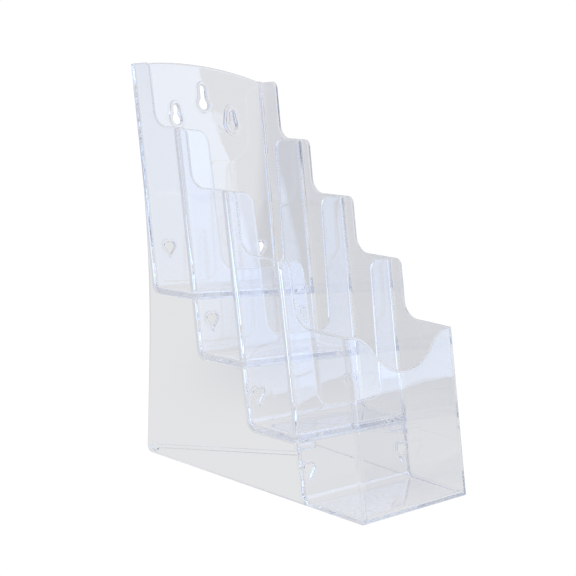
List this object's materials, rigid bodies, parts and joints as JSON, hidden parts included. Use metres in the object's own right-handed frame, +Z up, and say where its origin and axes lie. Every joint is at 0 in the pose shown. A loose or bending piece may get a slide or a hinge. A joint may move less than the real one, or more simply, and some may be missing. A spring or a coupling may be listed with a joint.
{
  "type": "tiered brochure rack",
  "caption": "Clear moulded countertop rack with stepped side panels and leaning tiered pockets that hold narrow leaflets upright.",
  "frame": {"origin": "middle of the bounding box in plan, at table height", "axes": "+Z up; the pockets face -Y, towards the reader; +X to the reader's right"},
  "size_m": [0.1378, 0.2692, 0.3189],
  "materials": {
    "clear_side": "clear gloss",
    "clear_wall": "clear gloss",
    "clear_floor": "clear gloss",
    "clear_detail": "clear gloss"
  },
  "bodies": {
    "root": {"side_panel_left": "clear_side", "side_panel_right": "clear_side", "back_panel": "clear_wall", "front_wall": "clear_wall", "tier_2_wall": "clear_wall", "tier_3_wall": "clear_wall", "tier_4_wall": "clear_wall", "tier_1_floor": "clear_floor", "tier_2_floor": "clear_floor", "tier_3_floor": "clear_floor", "tier_4_floor": "clear_floor", "keyhole_rim_left": "clear_detail", "keyhole_rim_right": "clear_detail", "vent_bezels_tier_1": "clear_detail", "vent_bezels_tier_2": "clear_detail", "vent_bezels_tier_3": "clear_detail", "vent_bezels_tier_4": "clear_detail", "brace_rib_left": "clear_detail", "brace_rib_right": "clear_detail", "brace_ledge_left": "clear_detail", "brace_ledge_right": "clear_detail"}
  },
  "joints": []
}
